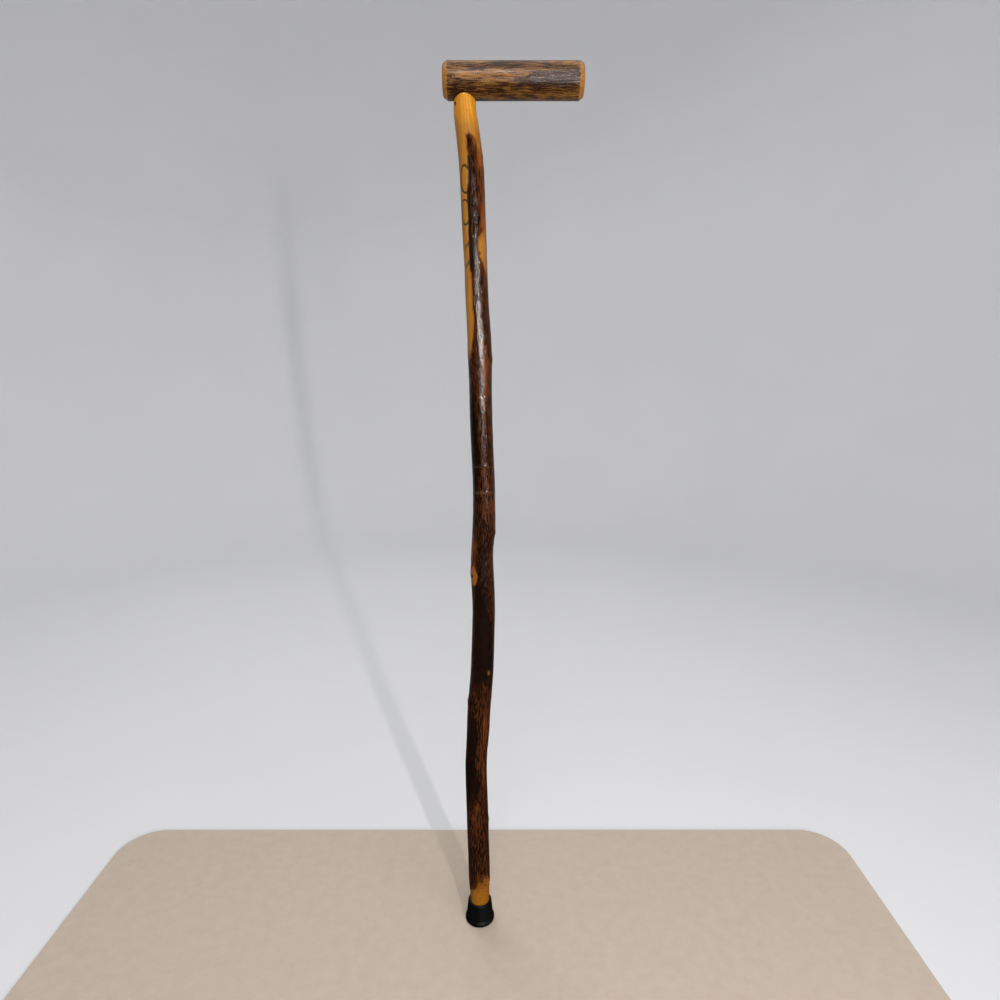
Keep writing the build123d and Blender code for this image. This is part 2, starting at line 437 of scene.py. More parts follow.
# Small dark flecks of outer bark near the foot.
FLECK_PATCHES = ((72, 6, 34, 60, 1.0), (84, 150, 40, 90, 0.7))
# Pale scars of old branches: height, turn, half height, half width in degrees.
PALE_SCARS = ((470, 78, 6, 13), (130, 76, 7, 12), (647, 86, 5, 11), (317, 38, 4, 13))
# Rings where a year's shoot began: height, half thickness in mm, strength.
SHOOT_RINGS = ((541, 0.9, 0.5), (514, 1.3, 0.9), (866, 0.8, 0.0))


def patches(height, turn, table):
    """Sum of soft oval patches, from 0 to 1."""
    total = np.zeros(len(height))
    for middle_height, middle_turn, half_height, half_width, strength in table:
        across = wrapped(turn - middle_turn) / half_width
        along = (height - middle_height) / half_height
        total += strength * np.exp(-1.2 * (across ** 2 + along ** 2) ** 1.5)
    return np.clip(total, 0, 1)


# %% [markdown]
# ## Knots
#
# Where a branch was cut off, the stick swells and often leans a little, and the scar may be sunken in its
# middle. A bump is a smooth hill on the unrolled surface, and an eye is a small pit on top of one.

# %% Knots and eyes
# Height, turn, half height in mm, half width in degrees, how high in mm.
BUMPS = (
    (470, 80, 5, 34, 0.9), (130, 78, 6, 34, 0.7), (647, 84, 5, 34, 0.7), (424, -74, 9, 40, 0.7),
    (750, 30, 12, 34, 0.25), (280, -80, 5, 44, 0.6), (514, 10, 2.4, 90, 0.22), (541, 10, 2, 90, 0.15),
    (690, 165, 10, 40, 1.2), (350, 168, 11, 45, 1.2), (205, -125, 9, 38, 1.0), (560, -150, 9, 40, 0.9),
    (786, 150, 10, 40, 0.8),
)
EYES = ((746, 26, 2.6, 11, 0.6), (424, -63, 3.2, 12, 0.7), (690, 165, 3, 13, 0.7), (350, 168, 3.2, 14, 0.8))


def hills(height, turn, table):
    """Height in mm of a table's smooth hills at each place."""
    total = np.zeros(len(height))
    for middle_height, middle_turn, half_height, half_width, rise in table:
        across = wrapped(turn - middle_turn) / half_width
        along = (height - middle_height) / half_height
        total += rise * np.exp(-1.8 * (across ** 2 + along ** 2))
    return total


# %% [markdown]
# ## The stick's cage
#
# A long natural form can be lofted from curves, sculpted, or grown ring by ring. We grow it: a circle is
# extruded up the measured line, and each new ring is resized to the stick's radius there. The rings are a
# coarse cage. A Subdivision Surface modifier makes it fine enough to carry bark, and it also shrinks
# a ring slightly, which the sculpting step after it puts right.

# %% Grow the stick ring by ring
RING_SIDES = 32
RING_STEP = 5 * MM
SPIGOT_CHAMFER = 1 * MM
SPIGOT_TOP = 28 * MM
STICK_TOP = SADDLE_LOW + 6 * MM


def stick_rings():
    """Heights of the cage's rings, closer together at the turned foot."""
    foot = stick_low.z
    turned = [foot, foot + SPIGOT_CHAMFER, foot + 3 * MM, 18 * MM, 26 * MM, SPIGOT_TOP]
    natural = np.arange(SPIGOT_TOP + RING_STEP, STICK_TOP - RING_STEP / 2, RING_STEP)
    return turned + list(natural) + [STICK_TOP]


def grow_stick():
    """Extrudes a circle along the measured line."""
    heights = stick_rings()
    x, y, radius = 0.0, 0.0, float(stick_at(heights[0])[2]) - SPIGOT_CHAMFER
    only(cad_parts["shaft"])
    bpy.ops.mesh.primitive_circle_add(vertices=RING_SIDES, radius=radius, location=(0, 0, 0))
    piece = bpy.context.object
    piece.name = "stick"
    edit_all(piece)
    bpy.ops.transform.translate(value=(0, 0, heights[0]))
    for below, above in zip(heights, heights[1:]):
        new_x, new_y, new_radius = (float(value) for value in stick_at(above))
        bpy.ops.mesh.extrude_region_move(
            TRANSFORM_OT_translate={"value": (new_x - x, new_y - y, above - below)}
        )
        grow = new_radius / radius
        bpy.ops.transform.resize(value=(grow, grow, 1), center_override=(new_x, new_y, above))
        x, y, radius = new_x, new_y, new_radius
    mode("OBJECT")
    return piece


stick = grow_stick()
cage_faces = len(stick.data.polygons)
apply_modifier(stick, "SUBSURF", levels=2, render_levels=2)
print("cage faces:", cage_faces, "after subdivision:", len(stick.data.polygons))

# %% [markdown]
# ## Sculpting the bark
#
# Now each vertex is moved in or out from the stick's middle, as a sculpting brush would. Bark stands
# proud of peeled wood by about half a millimetre and is split by long furrows. Peeled wood keeps soft
# facets from the knife. Burned lines are shallow grooves. The turned foot stays truly round, because the
# ferrule has to slide on it.

# %% Sculpt bark, facets, knots and grooves
BARK_PROUD = 0.18  # mm
PEEL_SUNK = 0.32
FURROW_DEPTH = 0.15
GROOVE_DEPTH = 0.32
EAR_ROUNDING = 1.3
EAR_TAPER = 0.55
SADDLE_BLEND = 24 * MM
SADDLE_EMBED = 0.35 * MM
TURNED_UP_TO, NATURAL_WITHIN = 30.0, 9.0  # mm, the turned foot and its change to natural wood
CUT_WITHIN = 25.0  # mm above the bark, where the neck was cut smooth
CHAMFER_TOP = 8.5  # mm


def smooth(values):
    """The usual soft step from 0 to 1."""
    share = np.clip(values, 0, 1)
    return share * share * (3 - 2 * share)


def unroll(points):
    """Height in mm, turn in degrees, and the stick's middle and radius at each place."""
    middle_x, middle_y, radius = stick_at(points[:, 2])
    turn = np.degrees(np.arctan2(points[:, 0] - middle_x, middle_y - points[:, 1]))
    return points[:, 2] / MM, turn, middle_x, middle_y, radius


def straightened(height, turn):
    """Places on a straight stick of mean radius, in mm, so that grain follows the real stick's bends."""
    turned = np.radians(turn)
    return np.column_stack((MEAN_RADIUS * np.sin(turned), -MEAN_RADIUS * np.cos(turned), height))


def saddle_height(across):
    """Height of the grip's surface above a place this far in front of or behind its axis."""
    return grip_height - np.sqrt(grip_radius ** 2 - across ** 2) + SADDLE_EMBED


def read_stick(points):
    """Each place unrolled and straightened, its depth in peeled wood and its distance from a burned line."""
    height, turn, middle_x, middle_y, radius = unroll(points)
    straight = straightened(height, turn)
    edge_noise = wander(straight, 3.0, 9.0, 3.1) + 0.5 * wander(straight, 1.2, 3.5, 9.4)
    depth = peeled_depth(height, turn, edge_noise)
    return height, turn, middle_x, middle_y, radius, straight, depth, burn_distance(height, turn, depth)


points = places(stick)
height, turn, middle_x, middle_y, radius, straight, depth, burned = read_stick(points)
bare = smooth(depth / 1.3 + 0.5)
furrows = np.abs(wander(straight, 2.0, 20.0, 21.7)) + 0.5 * np.abs(wander(straight, 1.1, 9.0, 40.3))
flakes = wander(straight, 3.4, 8.0, 55.0)
facets = wander(straight, 7.0, 40.0, 71.0)
oval = np.cos(np.radians(2 * turn) + height / 90.0) * 0.1
relief = (1 - bare) * (BARK_PROUD - FURROW_DEPTH * (1 - smooth(furrows * 2.2)) + 0.12 * flakes)
relief += bare * (0.22 * facets - PEEL_SUNK)
relief -= GROOVE_DEPTH * (1 - smooth((burned - 0.2) / 0.9)) * bare
relief += hills(height, turn, BUMPS) - hills(height, turn, EYES) + oval
natural = smooth((height - TURNED_UP_TO) / NATURAL_WITHIN)
chamfered = radius - SPIGOT_CHAMFER * np.clip(CHAMFER_TOP - height, 0, 1)
turned_radius = np.where(height < CHAMFER_TOP - 0.1, chamfered, radius)
cut_edge = smooth((height - TOP_OF_BARK) / CUT_WITHIN)
relief = relief * (1 - cut_edge) + (0.12 * facets) * cut_edge
new_radius = np.where(natural > 0, radius + relief * MM * natural, turned_radius)
turned = np.radians(turn)
points[:, 0] = middle_x + new_radius * np.sin(turned)
points[:, 1] = middle_y - new_radius * np.cos(turned)

# The top of the neck follows the grip: its last stretch is drawn up or down to meet the round log.
seat = saddle_height(points[:, 1])
lower = STICK_TOP - SADDLE_BLEND
share = np.clip((points[:, 2] - lower) / SADDLE_BLEND, 0, 1)
points[:, 2] = np.where(share > 0, lower + share * (seat - lower), points[:, 2])
below_edge = (seat - points[:, 2]) / MM
rounded = np.clip(1 - below_edge / EAR_ROUNDING, 0, 1)
draw_in = EAR_TAPER * MM * (1 - np.sqrt(1 - rounded ** 2)) * (share > 0)
points[:, 0] -= draw_in * np.sin(turned)
points[:, 1] += draw_in * np.cos(turned)
put_back(stick, points)
print("sculpted vertices:", len(points), "relief from", round(relief.min(), 2), "to", round(relief.max(), 2))

# %% [markdown]
# ## Closing the ends and boring the neck
#
# The foot is flat, and the neck's top is hollowed to fit the round grip with a bore for the dowel. Both
# openings are closed by extruding the open edge inwards. The saddle's inner edge is then moved to lie on
# the grip's surface, and the bore goes down from there.

# %% Close the foot, hollow the neck
BORE_RADIUS = 5 * MM
GLUE_SPACE = 1.5 * MM
HALF_WAY_UP = 0.4

open_edge(stick, 2, HALF_WAY_UP, beyond=False)
for shrink in (0.6, 0.4):
    bpy.ops.mesh.extrude_region_move()
    bpy.ops.transform.resize(value=(shrink, shrink, 1), center_override=(0, 0, stick_low.z))
bpy.ops.mesh.merge(type="CENTER")

open_edge(stick, 2, HALF_WAY_UP, beyond=True)
bpy.ops.mesh.extrude_region_move()
inner = chosen(stick)
points = places(stick)
spoke = np.hypot(points[inner, 0] - neck_x, points[inner, 1])
points[inner, 0] = neck_x + (points[inner, 0] - neck_x) * BORE_RADIUS / spoke
points[inner, 1] *= BORE_RADIUS / spoke
points[inner, 2] = saddle_height(points[inner, 1])
put_back(stick, points)
pick(stick, inner)
bpy.ops.mesh.extrude_region_move()
floor_ring = chosen(stick)
points = places(stick)
points[floor_ring, 2] = dowel_low.z - GLUE_SPACE
put_back(stick, points)
pick(stick, floor_ring)
bpy.ops.mesh.extrude_region_move()
bpy.ops.transform.resize(value=(0.4, 0.4, 1), center_override=(neck_x, 0, dowel_low.z - GLUE_SPACE))
bpy.ops.mesh.merge(type="CENTER")
mode("OBJECT")
outward(stick)
print("stick faces after closing:", len(stick.data.polygons))

# %% [markdown]
# ## Recesses over the brads
#
# Two brads were punched just below the surface of the neck. The one at the side was left as a small dark
# hole, and the one in front was filled, so only a faint spot shows. The brads are engineering pieces with
# a known place, so the hole is a cylinder along its own brad, cut with a Boolean.

# %% Cut the brad holes
HOLE_SIDES = 20
HOLE_RADIUS = 1.15 * MM
HOLE_LENGTH = 4 * MM

brad_points = np.array([v.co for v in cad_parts["lock_brads"].data.vertices])
brad_split = (brad_points[:, 2].min() + brad_points[:, 2].max()) / 2
brad_heads = []
for group in (brad_points[:, 2] > brad_split, brad_points[:, 2] <= brad_split):
    own = brad_points[group]
    middle_height = (own[:, 2].min() + own[:, 2].max()) / 2
    out = np.hypot(own[:, 0] - neck_x, own[:, 1])
    face = own[out > out.max() - 0.4 * MM].mean(0)
    way = Vector((face[0] - neck_x, face[1], 0)).normalized()
    brad_heads.append((Vector((face[0], face[1], middle_height)), way))

open_hole, filled_hole = sorted(brad_heads, key=lambda brad: brad[0].x)
head, way = open_hole
drill(stick, HOLE_SIDES, HOLE_RADIUS, HOLE_LENGTH, head + way * HOLE_LENGTH / 2,
      way.to_track_quat("Z", "Y").to_euler())
print("brad heads at heights, mm:", [round(head.z / MM, 1) for head, _ in brad_heads])

# %% [markdown]
# ## Handing the areas to the material
#
# A material can't call our functions, but it can read numbers kept on the vertices. Each one is stored
# as an attribute: how far into peeled wood, how far from a burned line, how warm and how dark the bark is.
# The straightened place is stored too, so that the grain runs along the bent stick instead of cutting
# across it.

# %% Store the stick's attributes
def store(piece, name, values):
    """Keeps one number for each vertex under a name."""
    attribute = piece.data.attributes.new(name, "FLOAT", "POINT")
    attribute.data.foreach_set("value", np.asarray(values, np.float32))


def store_places(piece, name, vectors):
    """Keeps one place for each vertex under a name."""
    attribute = piece.data.attributes.new(name, "FLOAT_VECTOR", "POINT")
    attribute.data.foreach_set("vector", np.asarray(vectors, np.float32).ravel())


points = places(stick)
height, turn, _, _, _, straight, depth, burned = read_stick(points)


def from_brad(brad):
    """Distance in mm from a brad's own axis, on the side where its head is."""
    head, way = brad
    offset = points - np.array(head)
    along = offset @ np.array(way)
    sideways = np.linalg.norm(offset - np.outer(along, np.array(way)), axis=1) / MM
    return np.where(along > -2 * MM, sideways, FAR)


burned = np.minimum(burned, np.maximum(from_brad(open_hole) - 0.9, 0))
strayed_height = height + 6.0 * wander(straight, 6.0, 20.0, 81.0)
strayed_turn = turn + 20.0 * wander(straight, 6.0, 24.0, 95.0)
rings = np.zeros(len(height))
for ring_height, half_thickness, strength in SHOOT_RINGS:
    off = (height - ring_height - 0.8 * wander(straight, 5.0, 40.0, 99.0)) / half_thickness
    rings += strength * np.exp(-off ** 2) * (0.6 + 0.4 * wander(straight, 2.0, 9.0, 17.0))
store(stick, "peeled", depth)
store(stick, "burned", burned)
store(stick, "filled", np.clip(from_brad(filled_hole), 0, FAR))
for name, table in (("warm", WARM_PATCHES), ("dark", DARK_PATCHES), ("thin", THIN_PATCHES)):
    store(stick, name, patches(strayed_height, strayed_turn, table))
store(stick, "flecks", patches(height, turn, FLECK_PATCHES))
store(stick, "rings", rings)
scar = np.max([ellipse_depth(height, turn, spot) for spot in PALE_SCARS], axis=0)
store(stick, "scar", np.clip(scar, -4, 4))
store(stick, "eye", hills(height, turn, EYES))
store_places(stick, "straight", straight)
smooth_by_angle(stick, 50)
print("stick vertices with attributes:", len(points))

# %% [markdown]
# ## The grip log
#
# The grip is a short piece of a thicker branch. Its bark was sanded until fibres show through, and its ends
# were chamfered by hand. We grow it like the stick, but lying down: a ring facing +X is extruded along the
# log, with rings close together where the chamfers bend.

# %% Grow the grip
GRIP_SIDES = 48
GRIP_STEP = 2.6 * MM
CHAMFER_LENGTH = 4.5 * MM
CHAMFER_DEPTH = 3.3 * MM


def grip_rings():
    """Places of the grip's rings along X."""
    near_end = [0.0, 0.7, 2.0, 3.4, 4.4, 5.4]
    start, end = grip_low.x, grip_high.x
    first = [start + step * MM for step in near_end]
    last = [end - step * MM for step in reversed(near_end)]
    return first + list(np.arange(first[-1] + GRIP_STEP, last[0] - GRIP_STEP / 2, GRIP_STEP)) + last


def grow_grip():
    """Extrudes a ring along the log."""
    stations = grip_rings()
    only(stick)
    bpy.ops.mesh.primitive_circle_add(
        vertices=GRIP_SIDES, radius=grip_radius, location=(0, 0, 0), rotation=(0, math.pi / 2, 0)
    )
    piece = bpy.context.object
    piece.name = "grip"
    bpy.ops.object.transform_apply(location=True, rotation=True, scale=True)
    edit_all(piece)
    bpy.ops.transform.translate(value=(stations[0], 0, grip_height))
    for near, far in zip(stations, stations[1:]):
        bpy.ops.mesh.extrude_region_move(TRANSFORM_OT_translate={"value": (far - near, 0, 0)})
    mode("OBJECT")
    return piece


grip = grow_grip()
apply_modifier(grip, "SUBSURF", levels=2, render_levels=2)
print("grip faces:", len(grip.data.polygons))

# %% [markdown]
# ## Bark left on the grip
#
# On the grip the bark is deepest near the long end and over the neck, and it was sanded away in between.
# Turns here go round the log: 0 faces the front, 90 is on top, and -90 is underneath.

# %% Sculpt the grip
# Place along the log in mm from its short end, turn, half length, half width in degrees, strength.
# The long band underneath, at turn -76 along the whole log, is painted shade that darkens the underside.
GRIP_DARK = (
    (104, -8, 26, 34, 1.0), (78, -32, 20, 20, 0.8), (118, 10, 16, 22, 0.7), (18, -28, 18, 24, 0.75),
    (10, -60, 12, 24, 0.8), (30, 28, 34, 13, 0.5), (66, 44, 26, 13, 0.8), (66, 22, 16, 10, 0.4),
    (44, -46, 26, 14, 0.5), (92, 26, 26, 10, 0.35), (64, -76, 70, 16, 0.35), (60, 130, 60, 40, 0.8),
    (110, 165, 30, 50, 0.9), (24, 170, 26, 50, 0.7), (84, -128, 40, 34, 0.6),
)
GRIP_PALE = (
    (50, -8, 22, 22, 0.6), (24, 54, 24, 14, 0.8), (110, 52, 24, 14, 0.8), (26, 2, 18, 10, 0.4),
    (74, 90, 50, 24, 0.4), (60, -172, 24, 30, 0.6),
)
CHAMFER_WOBBLE = 0.55  # mm
GRIP_FIBRE_DEPTH = 0.26
LOG_MEAN_RADIUS = 16  # mm, for patterns that run round the log
HALF_WAY_ALONG = 60  # mm
grip_length = (grip_high.x - grip_low.x) / MM


def around_grip(points):
    """Place along the log, turn, distance from its axis and from its nearer end, and evened places."""
    along = (points[:, 0] - grip_low.x) / MM
    turn = np.degrees(np.arctan2(points[:, 2] - grip_height, -points[:, 1]))
    out = np.hypot(points[:, 1], points[:, 2] - grip_height)
    turned = np.radians(turn)
    even = np.column_stack((LOG_MEAN_RADIUS * np.cos(turned), LOG_MEAN_RADIUS * np.sin(turned), along))
    return along, turn, out, np.minimum(along, grip_length - along), even


def into_chamfer(even, from_end):
    """How far each place is past the start of the chamfer, in mm."""
    return CHAMFER_LENGTH / MM + CHAMFER_WOBBLE * wander(even, 9.0, 60.0, 5.5) - from_end


def grip_limits(turn):
    """Radius of the engineering log in each direction, from its box."""
    half_y = min(-grip_low.y, grip_high.y) - 0.2 * MM
    half_z = grip_radius
    turned = np.radians(turn)
    return half_y * half_z / np.hypot(half_z * np.cos(turned), half_y * np.sin(turned))


points = places(grip)
along, turn, _, from_end, even = around_grip(points)
turned = np.radians(turn)
full = grip_limits(turn)
share = np.clip(into_chamfer(even, from_end) / (CHAMFER_LENGTH / MM), 0, 1.05)
softened = np.sqrt(share ** 2 + 0.02) - math.sqrt(0.02)
chamfer = CHAMFER_DEPTH / MM * softened + 0.7 * np.clip(1 - from_end / 0.8, 0, 1) ** 2
on_bark = 1 - smooth(share * 9)
darkness = patches(along, turn, GRIP_DARK)
fibres = np.abs(wander(even, 1.1, 20.0, 12.5)) + 0.6 * np.abs(wander(even, 0.6, 9.0, 33.0))
lumps = wander(even, 5.0, 14.0, 50.5)
relief = -GRIP_FIBRE_DEPTH * (1 - smooth(fibres * 2.4)) * (0.35 + 0.65 * darkness)
relief += 0.16 * lumps * darkness + 0.12 * wander(even, 9.0, 50.0, 61.0)
new_radius = full + (relief * on_bark - chamfer) * MM
points[:, 1] = -new_radius * np.cos(turned)
points[:, 2] = grip_height + new_radius * np.sin(turned)
put_back(grip, points)
print("grip length, mm:", round(grip_length, 1), "radius, mm:", round(grip_radius / MM, 2))

# %% [markdown]
# ## End grain
#
# Each end of the log shows growth rings round a pith, and dry checks that run out from it.

# %% Close the grip's ends
FACE_RINGS = 12
BETWEEN_ENDS = 0.04
CHECK_DEPTH = 1.1  # mm
CHECKS = ((20, 3.6), (148, 2.6), (255, 3.0))  # turn, width
FACE_INSET, GRAIN_INSET = 3.4 * MM, 2.2 * MM  # from the log's radius to its cut face and end grain
# The dark line round the joint is a glue line and a painted contact shadow.
NECK_RADIUS, WIDEST_GAP = 10.1, 8.0  # mm, for the dark line round the joint
FAR_END_TURN = 40  # degrees by which the far end's checks are turned
GROWTH_RING = 1.7  # mm
BORE_LENGTH = 40 * MM
BORE_SIDES = 48


def close_end(piece, far):
    """Closes one end of the log with rings that shrink to its pith."""
    open_edge(piece, 0, BETWEEN_ENDS, far)
    end = grip_high.x if far else grip_low.x
    for ring in range(FACE_RINGS):
        left = FACE_RINGS - ring
        shrink = (left - 0.9) / left if left > 1 else 0.3
        bpy.ops.mesh.extrude_region_move()
        bpy.ops.transform.resize(value=(1, shrink, shrink), center_override=(end, 0, grip_height))
    bpy.ops.mesh.merge(type="CENTER")
    mode("OBJECT")


for far in (False, True):
    close_end(grip, far)
outward(grip)
points = places(grip)
along, turn, out, from_end, _ = around_grip(points)
on_face = (from_end < 0.05) & (out < grip_radius - FACE_INSET)
sink = np.zeros(len(points))
for check_turn, width in CHECKS:
    side = np.abs(wrapped(turn - check_turn - np.where(along > HALF_WAY_ALONG, FAR_END_TURN, 0)))
    narrow = np.clip(1 - side / width / (1.2 - out / grip_radius), 0, 1)
    sink = np.maximum(sink, narrow * np.clip(1.25 - out / (grip_radius * 0.72), 0, 1))
sink = sink * CHECK_DEPTH + 0.05 * np.sin(out / MM * math.tau / GROWTH_RING)
inward = np.where(along < HALF_WAY_ALONG, 1.0, -1.0)
points[:, 0] += np.where(on_face, np.clip(sink, 0, None) * inward * MM, 0)
put_back(grip, points)

# The blind bore that takes the dowel's upper half.
bore_top = dowel_high.z + GLUE_SPACE
drill(grip, BORE_SIDES, BORE_RADIUS, BORE_LENGTH, (neck_x, 0, bore_top - BORE_LENGTH / 2))

points = places(grip)
along, turn, out, from_end, even = around_grip(points)
store(grip, "dark", patches(along, turn, GRIP_DARK))
store(grip, "pale", patches(along, turn, GRIP_PALE))
store(grip, "chamfer", np.clip(into_chamfer(even, from_end), -FAR, FAR))
store(grip, "end", np.where((from_end < 1.3) & (out < grip_radius - GRAIN_INSET), 1.0, 0.0))
neck_gap = np.hypot(points[:, 0] - neck_x, points[:, 1]) / MM - NECK_RADIUS
store(grip, "neck_gap", np.where(points[:, 2] < grip_height, np.clip(neck_gap, 0, WIDEST_GAP), WIDEST_GAP))
smooth_by_angle(grip, 45)
print("grip faces:", len(grip.data.polygons))

# %% [markdown]
# ## The rubber ferrule
#
# A ferrule is moulded rubber, round about its axis, so its section is drawn once and spun. The section
# starts as a single point, extruded from place to place by hand. Its sizes are touched off the
# engineering ferrule, and its corners are rounded with a Bevel modifier afterwards.

# %% Spin the ferrule
SPIN_STEPS = 96
SHARP_ANGLE = 40
SOCKET_RADIUS = 11.05 * MM
TREAD_DEPTH = 1.2 * MM
WALL_HEIGHTS = (0.3, 0.7, 1.2, 2.0, 3.0, 4.0, 4.6, 5.2, 5.8, 6.6, 7.6, 9.0, 12.0, 16.0, 20.0, 22.5, 24.0,
                24.8, 25.3, 25.7)  # mm
ferrule_tree = feelers("ferrule")


def outer_radius(height):
    """Where a ray from the side meets the ferrule."""
    return ferrule_tree.ray_cast(Vector((0.1, 0, height)), Vector((-1, 0, 0)))[0].x


def socket_floor():
    """Where a ray down the axis meets the socket's floor."""
    return ferrule_tree.ray_cast(Vector((0, 0, 0.1)), Vector((0, 0, -1)))[0].z


def tread_edges():
    """Radii at which the tread's grooves begin and end, felt from below."""
    edges, in_groove = [], False
    for radius in np.arange(1 * MM, ferrule_high.x - 2 * MM, 0.1 * MM):
        hit = ferrule_tree.ray_cast(Vector((radius, 0, -0.1)), Vector((0, 0, 1)))[0]
        deep = hit.z > ferrule_low.z + 0.5 * MM
        if deep != in_groove:
            edges.append(float(radius))
            in_groove = deep
    return edges


ferrule_top = ferrule_high.z
floor_height = socket_floor()
profile = [(0.0, ferrule_low.z)]
for index, edge in enumerate(tread_edges()):
    levels = (ferrule_low.z, TREAD_DEPTH) if index % 2 == 0 else (TREAD_DEPTH, ferrule_low.z)
    profile += [(edge, levels[0]), (edge, levels[1])]
profile.append((ferrule_high.x - 2.0 * MM, ferrule_low.z))
profile += [(outer_radius(height * MM), height * MM) for height in WALL_HEIGHTS]
profile += [(outer_radius(25.9 * MM) - 0.4 * MM, ferrule_top), (SOCKET_RADIUS + 0.5 * MM, ferrule_top),
            (SOCKET_RADIUS, ferrule_top - 0.5 * MM), (SOCKET_RADIUS, floor_height), (0.0, floor_height)]

ferrule = spin_section("ferrule_rubber", profile, SPIN_STEPS)
outward(ferrule)
apply_modifier(ferrule, "BEVEL", width=0.18 * MM, segments=2, limit_method="ANGLE",
               angle_limit=math.radians(SHARP_ANGLE))
smooth_by_angle(ferrule, SHARP_ANGLE)
print("ferrule faces:", len(ferrule.data.polygons), "profile places:", len(profile))

# %% [markdown]
# ## Building node trees
#
# Materials are built from small nodes. These helpers add a node, set its values and link what feeds it, so
# that the cells below read like a recipe.

# %% Node helpers
def put(tree, kind, inputs=None, **values):
    """Adds a node. Inputs are linked if they are sockets, and set if they are plain values."""
    made = tree.nodes.new("ShaderNode" + kind)
    for name, value in values.items():
        setattr(made, name, value)
    for key, value in (inputs or {}).items():
        if isinstance(value, bpy.types.NodeSocket):
            tree.links.new(value, made.inputs[key])
        else:
            made.inputs[key].default_value = value
    return made


def worked_out(tree, operation, first, second=0.0, third=0.0):
    """One Math node's result."""
    return put(tree, "Math", {0: first, 1: second, 2: third}, operation=operation).outputs[0]


def times(tree, first, second):
    """A product."""
    return worked_out(tree, "MULTIPLY", first, second)


def plus(tree, first, second):
    """A sum."""
    return worked_out(tree, "ADD", first, second)


def times_plus(tree, first, second, third):
    """A product with something added."""
    return worked_out(tree, "MULTIPLY_ADD", first, second, third)


def step_between(tree, value, low, high, to_low=0.0, to_high=1.0):
    """A soft step: low gives to_low, high gives to_high."""
    inputs = {"Value": value, "From Min": low, "From Max": high, "To Min": to_low, "To Max": to_high}
    return put(tree, "MapRange", inputs, interpolation_type="SMOOTHSTEP").outputs[0]


def mixed(tree, share, first, second):
    """One colour mixed into another."""
    return put(tree, "Mix", {0: share, 6: first, 7: second}, data_type="RGBA").outputs[2]


def layered(tree, colour, *coats):
    """A colour with coats laid over it. Each coat is its share and its own colour."""
    for share, coat in coats:
        colour = mixed(tree, share, colour, coat)
    return colour


def noise_of(tree, vector, scale=1.0, detail=2.0, roughness=0.5, distortion=0.0):
    """Noise from 0 to 1."""
    inputs = {"Vector": vector, "Scale": scale, "Detail": detail, "Roughness": roughness,
              "Distortion": distortion}
    return put(tree, "TexNoise", inputs).outputs[0]


def stretched(tree, vector, x, y, z):
    """A vector with each direction scaled by its own amount."""
    return put(tree, "VectorMath", {0: vector, 1: (x, y, z)}, operation="MULTIPLY").outputs[0]


def object_mm(tree):
    """The place on the piece itself, in millimetres."""
    return stretched(tree, put(tree, "TexCoord").outputs["Object"], 1000, 1000, 1000)


def bumped(tree, height, strength, distance):
    """A normal that follows a height."""
    return put(tree, "Bump", {"Height": height, "Strength": strength, "Distance": distance}).outputs[0]


def feed(tree, shader, **sources):
    """Links each source to the shader's socket of that name."""
    for name, source in sources.items():
        tree.links.new(source, shader.inputs[name.replace("_", " ")])


def attribute(tree, name, output="Fac"):
    """A number or place that was stored on the vertices."""
    return put(tree, "Attribute", attribute_name=name).outputs[output]


def rgb(red, green, blue):
    """A display colour from 0 to 255, as the linear colour that shaders use."""
    linear = [((c / 255 + 0.055) / 1.055) ** 2.4 if c > 10 else c / 255 / 12.92 for c in (red, green, blue)]
    return (*linear, 1.0)


def new_group(name, inputs, outputs):
    """A shader node group with named number, colour or vector sockets."""
    group = bpy.data.node_groups.new(name, "ShaderNodeTree")
    for socket_name, kind, default in inputs:
        made = group.interface.new_socket(socket_name, in_out="INPUT", socket_type="NodeSocket" + kind)
        if default is not None:
            made.default_value = default
    for socket_name, kind in outputs:
        group.interface.new_socket(socket_name, in_out="OUTPUT", socket_type="NodeSocket" + kind)
    return group, group.nodes.new("NodeGroupInput"), group.nodes.new("NodeGroupOutput")


def use(tree, group, **inputs):
    """Places a node group in a tree, and gives its outputs."""
    named = {key.replace("_", " "): value for key, value in inputs.items()}
    return put(tree, "Group", named, node_tree=group).outputs


def new_material(name, **constants):
    """A material with one Principled shader, and its constant values set on the shader itself."""
    material = bpy.data.materials.new(name)
    material.use_nodes = True
    shader = material.node_tree.nodes["Principled BSDF"]
    for key, value in constants.items():
        shader.inputs[key.replace("_", " ")].default_value = value
    return material, material.node_tree, shader


def wear_finish(piece, material):
    """Gives a piece its one material."""
    piece.data.materials.clear()
    piece.data.materials.append(material)


# %% [markdown]
# ## Wood fibre, shared by three pieces
#
# The stick, the grip and the dowel are all wood, and wood is long fibres. Noise squeezed across the grain
# and stretched along it looks like fibre. The group has its own inputs for the fibre's width and length in
# millimetres, so the same group serves a rough stick and a plain dowel.

